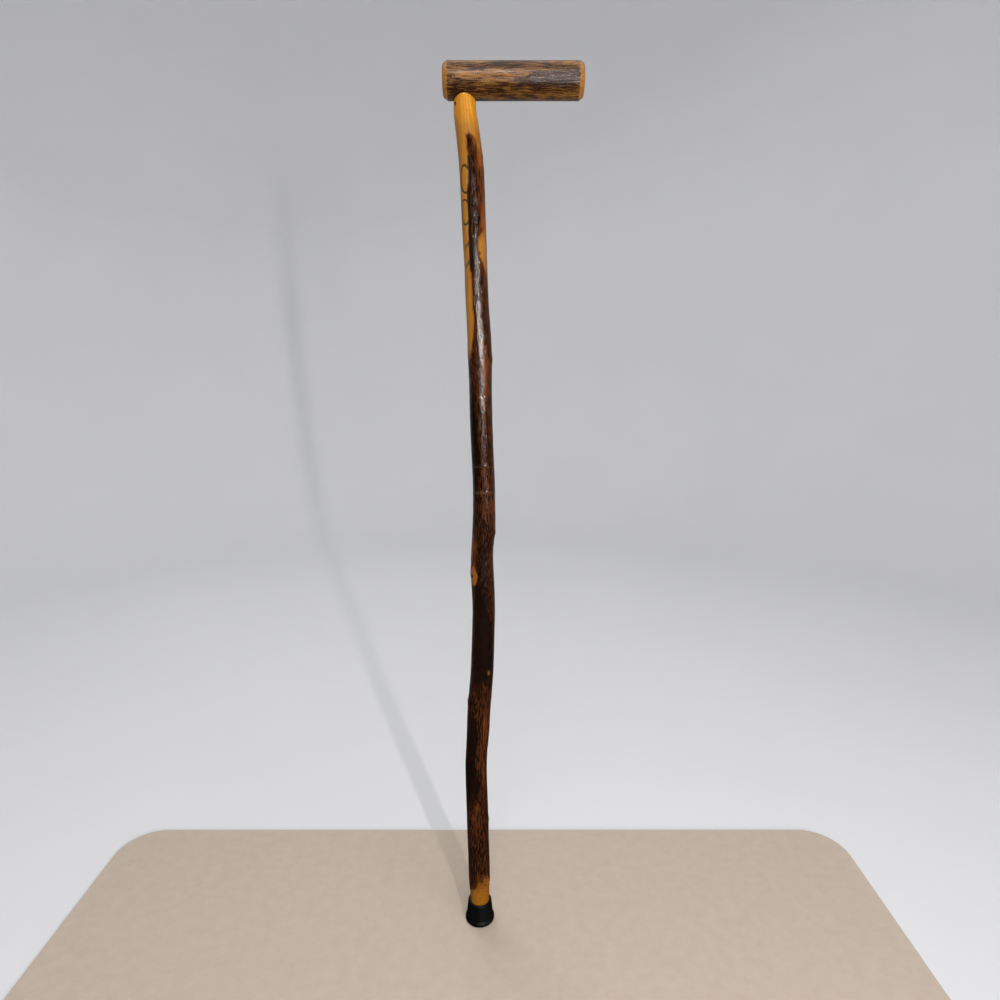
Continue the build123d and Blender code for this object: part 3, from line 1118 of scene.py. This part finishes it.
# %% Fibre group
fibre_group, source, result = new_group(
    "wood_fibre",
    [("Vector", "Vector", None), ("Width", "Float", 1.0), ("Length", "Float", 12.0)],
    [("Streaks", "Float"), ("Fine", "Float"), ("Cloud", "Float")],
)
across = worked_out(fibre_group, "DIVIDE", 1.0, source.outputs["Width"])
along = worked_out(fibre_group, "DIVIDE", 1.0, source.outputs["Length"])
squeeze = put(fibre_group, "CombineXYZ", {0: across, 1: across, 2: along}).outputs[0]
fibre_place = put(
    fibre_group, "VectorMath", {0: source.outputs["Vector"], 1: squeeze}, operation="MULTIPLY"
).outputs[0]
streaks = noise_of(fibre_group, fibre_place, 1.0, 4.0, 0.6, 0.25)
fine = noise_of(fibre_group, stretched(fibre_group, fibre_place, 3.1, 3.1, 2.0), 1.0, 2.0, 0.6)
cloud = noise_of(fibre_group, stretched(fibre_group, source.outputs["Vector"], 0.11, 0.11, 0.045), 1.0, 3.0)
fibre_group.links.new(step_between(fibre_group, streaks, 0.34, 0.66), result.inputs["Streaks"])
fibre_group.links.new(step_between(fibre_group, fine, 0.35, 0.65), result.inputs["Fine"])
fibre_group.links.new(step_between(fibre_group, cloud, 0.35, 0.65), result.inputs["Cloud"])
print("group:", fibre_group.name, "nodes:", len(fibre_group.nodes))

# %% [markdown]
# ## Handling marks, shared by wood, rubber and steel
#
# Nothing stays evenly glossy. Dust settles in, fingers leave dull patches, and hard edges leave short
# scratches. One group gives a slow dullness, small specks and thin scratches, each from 0 to 1.

# %% Handling group
handling_group, source, result = new_group(
    "handling_marks",
    [("Vector", "Vector", None), ("Speck Size", "Float", 0.5)],
    [("Dull", "Float"), ("Specks", "Float"), ("Scratches", "Float")],
)
mark_place = source.outputs["Vector"]
dull = noise_of(handling_group, stretched(handling_group, mark_place, 0.09, 0.09, 0.05), 1.0, 3.0, 0.55)
speck_scale = worked_out(handling_group, "DIVIDE", 1.0, source.outputs["Speck Size"])
speck_place = put(
    handling_group, "VectorMath", {0: mark_place, "Scale": speck_scale}, operation="SCALE"
).outputs[0]
specks = noise_of(handling_group, speck_place, 1.0, 1.0, 0.5)
slanted = put(
    handling_group, "Mapping", {"Vector": mark_place, "Rotation": (0.5, 0.7, 0.9), "Scale": (2.6, 0.16, 2.6)}
).outputs[0]
scratches = noise_of(handling_group, slanted, 1.0, 1.0, 0.5, 0.4)
handling_group.links.new(step_between(handling_group, dull, 0.35, 0.65), result.inputs["Dull"])
handling_group.links.new(step_between(handling_group, specks, 0.66, 0.74), result.inputs["Specks"])
handling_group.links.new(step_between(handling_group, scratches, 0.69, 0.73), result.inputs["Scratches"])
print("group:", handling_group.name, "nodes:", len(handling_group.nodes))

# %% [markdown]
# ## The varnished stick
#
# Peeled wood is golden yellow under the varnish. Bark goes from near black to amber where it was thinned.
# The colour is built in layers, from the wood up: wood, bark over it, scorch and burned lines over both. The
# varnish follows the bark's roughness, so the bump that darkens a furrow also breaks up the highlight.

# %% Stick material
stick_finish, tree, shader = new_material(
    "varnished_stick", Coat_Roughness=0.12, Coat_IOR=1.5, Specular_IOR_Level=0.6
)
place = attribute(tree, "straight", "Vector")
peeled = attribute(tree, "peeled")
burn = attribute(tree, "burned")
warm = attribute(tree, "warm")
dark = attribute(tree, "dark")
fibre = use(tree, fibre_group, Vector=place, Width=0.95, Length=11.0)
grain = use(tree, fibre_group, Vector=place, Width=1.8, Length=42.0)
marks = use(tree, handling_group, Vector=place, Speck_Size=0.55)

# Peeled wood: bright gold on the neck and duller below, with long faint grain and brown near the bark.
wood_height = put(tree, "SeparateXYZ", {0: place}).outputs["Z"]
neck_share = step_between(tree, wood_height, 852.0, 878.0)
thin = attribute(tree, "thin")
wood = layered(
    tree, mixed(tree, neck_share, rgb(156, 110, 42), rgb(218, 152, 36)),
    (times(tree, grain["Cloud"], 0.5), rgb(170, 112, 36)),
    (times(tree, grain["Streaks"], 0.5), rgb(146, 86, 22)),
    (step_between(tree, grain["Fine"], 0.62, 0.95, 0.0, 0.35), rgb(120, 66, 16)),
    (step_between(tree, peeled, 0.2, 3.0, 0.75, 0.0), rgb(126, 68, 16)),
    (step_between(tree, wood_height, 36.0, 60.0, 0.8, 0.0), rgb(140, 88, 10)),
    (times(tree, warm, 0.85), rgb(126, 72, 22)),
)

# Bark: nearly black, warmed to red-brown and amber where it is thin.
thread = use(tree, fibre_group, Vector=place, Width=0.5, Length=6.0)
warm_share = plus(tree, warm, times_plus(tree, fibre["Streaks"], 0.6, -0.3))
thin_share = plus(tree, thin, times_plus(tree, fibre["Fine"], 0.5, -0.3))
dark_share = plus(tree, dark, times_plus(tree, thread["Streaks"], -0.9, 0.4))
bark = layered(
    tree, mixed(tree, step_between(tree, fibre["Streaks"], 0.2, 0.85), rgb(6, 3, 2), rgb(60, 30, 13)),
    (step_between(tree, thread["Streaks"], 0.55, 1.0, 0.0, 0.5), rgb(92, 50, 24)),
    (step_between(tree, warm_share, 0.15, 0.8, 0.0, 0.8), rgb(86, 42, 15)),
    (step_between(tree, warm_share, 0.6, 1.3, 0.0, 0.85), rgb(132, 74, 22)),
    (step_between(tree, thin_share, 0.15, 0.95, 0.0, 0.95), rgb(148, 94, 24)),
    (step_between(tree, dark_share, 0.1, 0.75, 0.0, 0.95),
     mixed(tree, fibre["Fine"], rgb(2, 1, 1), rgb(17, 8, 4))),
    (times(tree, marks["Specks"], 0.3), rgb(104, 66, 38)),
    (times(tree, attribute(tree, "rings"), fibre["Fine"]), rgb(120, 84, 56)),
)

# Where they meet, and what lies over both: scars, eyes, flecks, burned lines and the filled brad hole.
edge_uneven = times_plus(tree, fibre["Fine"], 0.9, -0.45)
peel_edge = plus(tree, peeled, edge_uneven)
edge_width = times_plus(tree, thin, 2.4, 0.25)
bare_mask = step_between(tree, peel_edge, -0.25, edge_width)
scar_mask = step_between(tree, attribute(tree, "scar"), -0.2, 1.8, 0.0, 0.6)
fleck_noise = noise_of(tree, stretched(tree, place, 0.5, 0.5, 0.22), 1.0, 2.0, 0.6, 1.2)
fleck_share = step_between(tree, fleck_noise, 0.55, 0.6, 0.0, 0.85)
burn_mask = step_between(tree, burn, LINE_HALF_WIDTH, LINE_HALF_WIDTH + 0.3, 0.93, 0.0)
surface = layered(
    tree, mixed(tree, bare_mask, bark, wood),
    (times(tree, scar_mask, fibre["Fine"]), rgb(150, 102, 62)),
    (step_between(tree, attribute(tree, "eye"), 0.12, 0.5, 0.0, 0.9), rgb(44, 20, 8)),
    (times(tree, fleck_share, attribute(tree, "flecks")), rgb(14, 8, 5)),
    (burn_mask, rgb(16, 8, 5)),
    (step_between(tree, attribute(tree, "filled"), 0.6, 1.3, 0.55, 0.0), rgb(122, 72, 22)),
)

gloss = times_plus(tree, marks["Dull"], 0.06, 0.075)
gloss = plus(tree, gloss, times(tree, burn_mask, 0.2))
gloss = plus(tree, gloss, times(tree, bare_mask, 0.12))

bark_height = times_plus(tree, fibre["Streaks"], 0.8, 0.0)
bark_height = plus(tree, bark_height, times(tree, fibre["Fine"], 0.35))
pebble = noise_of(tree, stretched(tree, place, 1.7, 1.7, 0.75), 1.0, 2.0, 0.55)
bark_height = times_plus(tree, pebble, 1.1, bark_height)
bare_height = times(tree, grain["Fine"], 0.15)
inputs = {"Factor": bare_mask, 2: bark_height, 3: bare_height}
stick_height = put(tree, "Mix", inputs, data_type="FLOAT").outputs[0]
feed(tree, shader, Base_Color=surface, Roughness=gloss, Coat_Weight=times(tree, bare_mask, 0.15),
     Normal=bumped(tree, stick_height, 1.0, 0.07 * MM))
wear_finish(stick, stick_finish)

# %% [markdown]
# ## The sanded grip
#
# On the grip the bark was sanded flush, so dark fibres lie side by side with golden wood. The same fibre
# group is used with shorter, denser fibres. The chamfers are bare wood, and the end faces show growth rings.

# %% Grip material
grip_finish, tree, shader = new_material("varnished_grip", Coat_Roughness=0.15, Coat_IOR=1.5)
to_axis = (0, 0, -grip_height / MM)
inputs = {"Vector": put(tree, "TexCoord").outputs["Object"], "Location": to_axis, "Scale": (1000, 1000, 1000)}
centred = put(tree, "Mapping", inputs).outputs[0]
parts = put(tree, "SeparateXYZ", {0: centred})
log_place = put(
    tree, "CombineXYZ", {0: parts.outputs["Y"], 1: parts.outputs["Z"], 2: parts.outputs["X"]}
).outputs[0]
fibre = use(tree, fibre_group, Vector=log_place, Width=0.55, Length=11.0)
grain = use(tree, fibre_group, Vector=log_place, Width=1.6, Length=30.0)
marks = use(tree, handling_group, Vector=log_place, Speck_Size=0.5)
dark = attribute(tree, "dark")
pale = attribute(tree, "pale")
chamfered = attribute(tree, "chamfer")

wood = mixed(tree, grain["Cloud"], rgb(134, 96, 45), rgb(104, 70, 32))
wood = mixed(tree, times(tree, pale, 0.7), wood, rgb(168, 119, 58))
lines = times(tree, grain["Streaks"], 0.5)
wood = mixed(tree, lines, wood, rgb(92, 50, 18))
fibre_colour = mixed(tree, fibre["Fine"], rgb(48, 25, 13), rgb(20, 10, 7))
dark_level = worked_out(tree, "SUBTRACT", dark, times(tree, pale, 0.45))
dark_level = times_plus(tree, dark_level, 0.48, 0.44)
streak_level = worked_out(tree, "SUBTRACT", 1.0, fibre["Streaks"])
streak_level = plus(tree, streak_level, times_plus(tree, grain["Cloud"], 0.2, -0.1))
thread = use(tree, fibre_group, Vector=log_place, Width=0.45, Length=9.0)
streak_level = times_plus(tree, thread["Streaks"], 0.3, streak_level)
fibre_mask = step_between(tree, plus(tree, streak_level, dark_level), 1.0, 1.27, 0.0, 0.95)
bark_mask = step_between(tree, chamfered, -0.35, 0.25, 1.0, 0.0)
surface = mixed(tree, times(tree, fibre_mask, bark_mask), wood, fibre_colour)
bare_edge = mixed(tree, grain["Streaks"], rgb(160, 112, 54), rgb(124, 80, 36))
surface = mixed(tree, bark_mask, bare_edge, surface)

ring_place = stretched(tree, log_place, 1.0, 1.12, 0.0)
ring_wander = noise_of(tree, stretched(tree, log_place, 0.12, 0.12, 0.0), 1.0, 2.0)
ring_radius = put(tree, "VectorMath", {0: ring_place}, operation="LENGTH").outputs["Value"]
ring_radius = times_plus(tree, ring_wander, 2.4, ring_radius)
ring_wave = worked_out(tree, "SINE", times(tree, ring_radius, math.tau / GROWTH_RING))
end_wood = mixed(tree, step_between(tree, ring_wave, -0.3, 1.0), rgb(186, 134, 76), rgb(128, 80, 40))
pith = step_between(tree, ring_radius, 1.6, 3.0, 0.85, 0.0)
end_wood = mixed(tree, pith, end_wood, rgb(60, 34, 20))
end_wood = mixed(tree, step_between(tree, ring_radius, 9.5, 15.0, 0.0, 0.6), end_wood, rgb(120, 74, 36))
surface = mixed(tree, attribute(tree, "end"), surface, end_wood)
# A dark glue line round the neck, which also serves as a painted contact shadow where the grip meets it.
glue_line_and_painted_shadow = step_between(tree, attribute(tree, "neck_gap"), 0.2, 1.3, 0.85, 0.0)
surface = mixed(tree, glue_line_and_painted_shadow, surface, rgb(30, 16, 10))
grip_bump_height = times_plus(tree, fibre["Streaks"], 0.7, 0.0)
grip_bump_height = plus(tree, grip_bump_height, times(tree, fibre["Fine"], 0.3))
pebble = noise_of(tree, stretched(tree, log_place, 1.5, 1.5, 0.8), 1.0, 2.0, 0.55)
pebble_share = times_plus(tree, fibre_mask, 0.7, 0.1)
grip_bump_height = times_plus(tree, pebble, pebble_share, grip_bump_height)
feed(tree, shader, Base_Color=surface, Roughness=times_plus(tree, marks["Dull"], 0.08, 0.09),
     Coat_Weight=times_plus(tree, fibre_mask, -0.1, 0.15),
     Normal=bumped(tree, grip_bump_height, 1.0, 0.06 * MM))
wear_finish(grip, grip_finish)

# %% [markdown]
# ## Rubber
#
# Moulded rubber is black and satin, never truly black: dust greys it, most of all near the ground, and its
# skin has a fine pebble from the mould.

# %% Rubber material
rubber_finish, tree, shader = new_material("black_rubber", Specular_IOR_Level=0.22)
in_mm = object_mm(tree)
marks = use(tree, handling_group, Vector=in_mm, Speck_Size=0.4)
ground_height = put(tree, "SeparateXYZ", {0: in_mm}).outputs["Z"]
near_ground = step_between(tree, ground_height, 0.0, 5.0, 0.16, 0.0)
dust = times(tree, near_ground, marks["Dull"])
rubber = mixed(tree, marks["Dull"], rgb(4, 4, 5), rgb(10, 10, 11))
rubber = mixed(tree, dust, rubber, rgb(80, 75, 68))
rubber = mixed(tree, times(tree, marks["Scratches"], 0.35), rubber, rgb(92, 90, 88))
pebble = noise_of(tree, stretched(tree, in_mm, 2.2, 2.2, 2.2), 1.0, 3.0, 0.6)
feed(tree, shader, Base_Color=rubber, Roughness=times_plus(tree, marks["Dull"], 0.14, 0.42),
     Normal=bumped(tree, pebble, 0.35, 0.1 * MM))
wear_finish(ferrule, rubber_finish)

# %% [markdown]
# ## Dowel, brads and washer
#
# These pieces come straight from the engineering model, and only need a finish. The dowel is pale birch
# with fine straight grain, from the same fibre group. The brads are dull wire and the washer is bright
# zinc, both with the same handling marks as the rest.

# %% Finishes for the engineering pieces
dowel_finish, tree, shader = new_material("birch_dowel")
in_mm = object_mm(tree)
grain = use(tree, fibre_group, Vector=in_mm, Width=0.6, Length=18.0)
birch = mixed(tree, grain["Streaks"], rgb(214, 184, 140), rgb(190, 154, 108))
feed(tree, shader, Base_Color=birch, Roughness=times_plus(tree, grain["Fine"], 0.1, 0.6),
     Normal=bumped(tree, grain["Streaks"], 0.4, 0.1 * MM))
wear_finish(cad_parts["joint_dowel"], dowel_finish)


def steel(name, clean, stained, least_rough):
    """Steel with stains and scratches: its colours, and its roughness where it is cleanest."""
    material, tree, shader = new_material(name, Metallic=1.0)
    in_mm = object_mm(tree)
    marks = use(tree, handling_group, Vector=in_mm, Speck_Size=0.3)
    colour = mixed(tree, marks["Dull"], clean, stained)
    colour = mixed(tree, times(tree, marks["Specks"], 0.5), colour, rgb(84, 62, 44))
    feed(tree, shader, Base_Color=colour, Roughness=times_plus(tree, marks["Scratches"], 0.2, least_rough))
    return material


wear_finish(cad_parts["lock_brads"], steel("brad_wire", rgb(120, 118, 114), rgb(84, 78, 72), 0.42))
zinc = steel("zinc_washer", rgb(206, 208, 210), rgb(168, 170, 172), 0.3)
wear_finish(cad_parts["ferrule_washer"], zinc)

# %% [markdown]
# ## Floor and backdrop
#
# The cane stands on a pale mat in front of a pale grey studio. The studio is a large round dish, spun from
# one section, so that no edge shows and any side of the cane can be looked at.

# %% Studio
DISH_RADIUS = 2.6
DISH_BEND = 0.9
DISH_HEIGHT = 3.2
DISH_STEPS, BEND_STEPS = 72, 12
FLOOR_DROP = 4 * MM

section = [(0.0, -FLOOR_DROP), (DISH_RADIUS - DISH_BEND, -FLOOR_DROP)]
for step in range(1, BEND_STEPS + 1):
    bend = math.pi / 2 * step / BEND_STEPS
    section.append((DISH_RADIUS - DISH_BEND * (1 - math.sin(bend)),
                    DISH_BEND * (1 - math.cos(bend)) - FLOOR_DROP))
section.append((DISH_RADIUS, DISH_HEIGHT - FLOOR_DROP))
studio = spin_section("studio_dish", section, DISH_STEPS)
edit_all(studio)
bpy.ops.mesh.remove_doubles(threshold=1e-5)
mode("OBJECT")
bpy.ops.object.shade_smooth()

MAT_WIDTH, MAT_FRONT, MAT_BACK = 0.98, -0.75, 0.155
bpy.ops.mesh.primitive_cube_add(size=1, location=(0, 0, 0))
mat = bpy.context.object
mat.name = "pale_mat"
mat.scale = (MAT_WIDTH, MAT_BACK - MAT_FRONT, FLOOR_DROP)
mat.location = (0.0, (MAT_BACK + MAT_FRONT) / 2, -FLOOR_DROP / 2)
bpy.ops.object.transform_apply(location=True, rotation=True, scale=True)
mode("EDIT")
bpy.ops.mesh.select_mode(type="EDGE")
bpy.ops.mesh.select_all(action="DESELECT")
mode("OBJECT")
for edge in mat.data.edges:
    ends = [mat.data.vertices[i].co for i in edge.vertices]
    edge.select = abs(ends[0].z - ends[1].z) > FLOOR_DROP / 2
mode("EDIT")
bpy.ops.mesh.bevel(offset=0.05, segments=10, affect="EDGES")
mode("OBJECT")
apply_modifier(mat, "BEVEL", width=1.5 * MM, segments=3, limit_method="ANGLE")
smooth_by_angle(mat, 40)


def plain_finish(name, first, second, size_mm, rough):
    """A plain stage finish that carries a painted dark reflection: varnish mirrors it nearly black, and less
    so behind.
    """
    material, tree, shader = new_material(name, Roughness=rough, Specular_IOR_Level=0.2)
    in_mm = object_mm(tree)
    scale = 1 / size_mm
    cloud = noise_of(tree, stretched(tree, in_mm, scale, scale, scale), 1.0, 4.0, 0.6)
    seen = mixed(tree, cloud, first, second)
    # Painted dark reflection: glossy rays see the stage's colour swapped for near black, most of all in
    # front.
    in_gloss = put(tree, "LightPath").outputs["Is Glossy Ray"]
    in_front = step_between(tree, put(tree, "SeparateXYZ", {0: in_mm}).outputs["Y"], 0.0, 1800.0, 0.985, 0.6)
    colour_with_painted_dark_reflection = mixed(tree, times(tree, in_gloss, in_front), seen, rgb(20, 20, 21))
    feed(tree, shader, Base_Color=colour_with_painted_dark_reflection)
    return material


wear_finish(studio, plain_finish("studio_grey", rgb(218, 219, 222), rgb(212, 213, 216), 400, 0.9))
wear_finish(mat, plain_finish("mat_beige", rgb(196, 182, 168), rgb(180, 165, 150), 14, 0.95))

# %% [markdown]
# ## Light
#
# Varnish shows its lamps, so lights of plain shapes are placed where their mirror images should fall. One
# large soft light hangs above and in front. Two tall ones beside the camera draw the bright streak down the
# stick, a narrow one high up draws the line along the grip, and one behind lights the back. The room is
# mirrored dark in front: the world is dimmer in reflections, and the studio carries a painted dark
# reflection, which keeps the bark deep.

# %% Lights
def soft_light(name, place, target, width, height, power, colour, mirrored=True):
    """A rectangular soft light that looks at a target and isn't seen itself, though varnish may mirror it."""
    data = bpy.data.lights.new(name, "AREA")
    data.shape = "RECTANGLE"
    data.size, data.size_y = width, height
    data.energy = power
    data.color = colour
    light = bpy.data.objects.new(name, data)
    light.location = place
    light.rotation_euler = (Vector(target) - Vector(place)).to_track_quat("-Z", "Y").to_euler()
    light.visible_camera = False
    light.visible_glossy = mirrored
    bpy.context.scene.collection.objects.link(light)
    return light


middle_of_cane = (0.0, 0.0, 0.5)
soft_light("overhead", (0.35, -0.9, 2.3), middle_of_cane, 1.4, 1.0, 22, (1.0, 0.98, 0.95), False)
soft_light("streak", (0.54, -1.5, 0.74), (0, 0, 0.68), 0.04, 0.46, 15, (1.0, 0.96, 0.92))
soft_light("faint_streak", (0.54, -1.5, 0.64), (0, 0, 0.7), 0.04, 0.95, 3.5, (1.0, 0.96, 0.92))
soft_light("grip_line", (0.08, -1.15, 1.7), (0, 0, grip_height), 0.56, 0.03, 4.5, (1.0, 0.99, 0.97))
soft_light("back_fill", (-0.6, 1.3, 2.2), middle_of_cane, 1.2, 1.0, 14, (1.0, 0.99, 0.97), False)

world = bpy.data.worlds.new("soft_room")
bpy.context.scene.world = world
world.use_nodes = True
world.node_tree.nodes["Background"].inputs["Color"].default_value = (0.97, 0.98, 1.0, 1.0)
tree = world.node_tree
looked_at = put(tree, "SeparateXYZ", {0: put(tree, "TexCoord").outputs["Generated"]}).outputs["Z"]
mirrored_room = step_between(tree, looked_at, 0.2, 0.75, 0.07, 0.6)
in_gloss = put(tree, "LightPath").outputs["Is Glossy Ray"]
strength = put(tree, "Mix", {"Factor": in_gloss, 2: 0.36, 3: mirrored_room}, data_type="FLOAT").outputs[0]
tree.links.new(strength, tree.nodes["Background"].inputs["Strength"])

# %% [markdown]
# ## Joining the looks to the frame
#
# The cane is two bodies: the wood, and the tip that pulls off it. Each visual piece rides on its body, and
# the engineering piece it stands for is hidden.

# %% Ride and replace
for piece, body, node, slot in (
    (stick, "cane", "shaft", "shaft_wood"),
    (grip, "cane", "handle", "grip_wood"),
    (ferrule, "tip", "ferrule", "ferrule_rubber"),
):
    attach(piece, body)
    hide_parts(node)
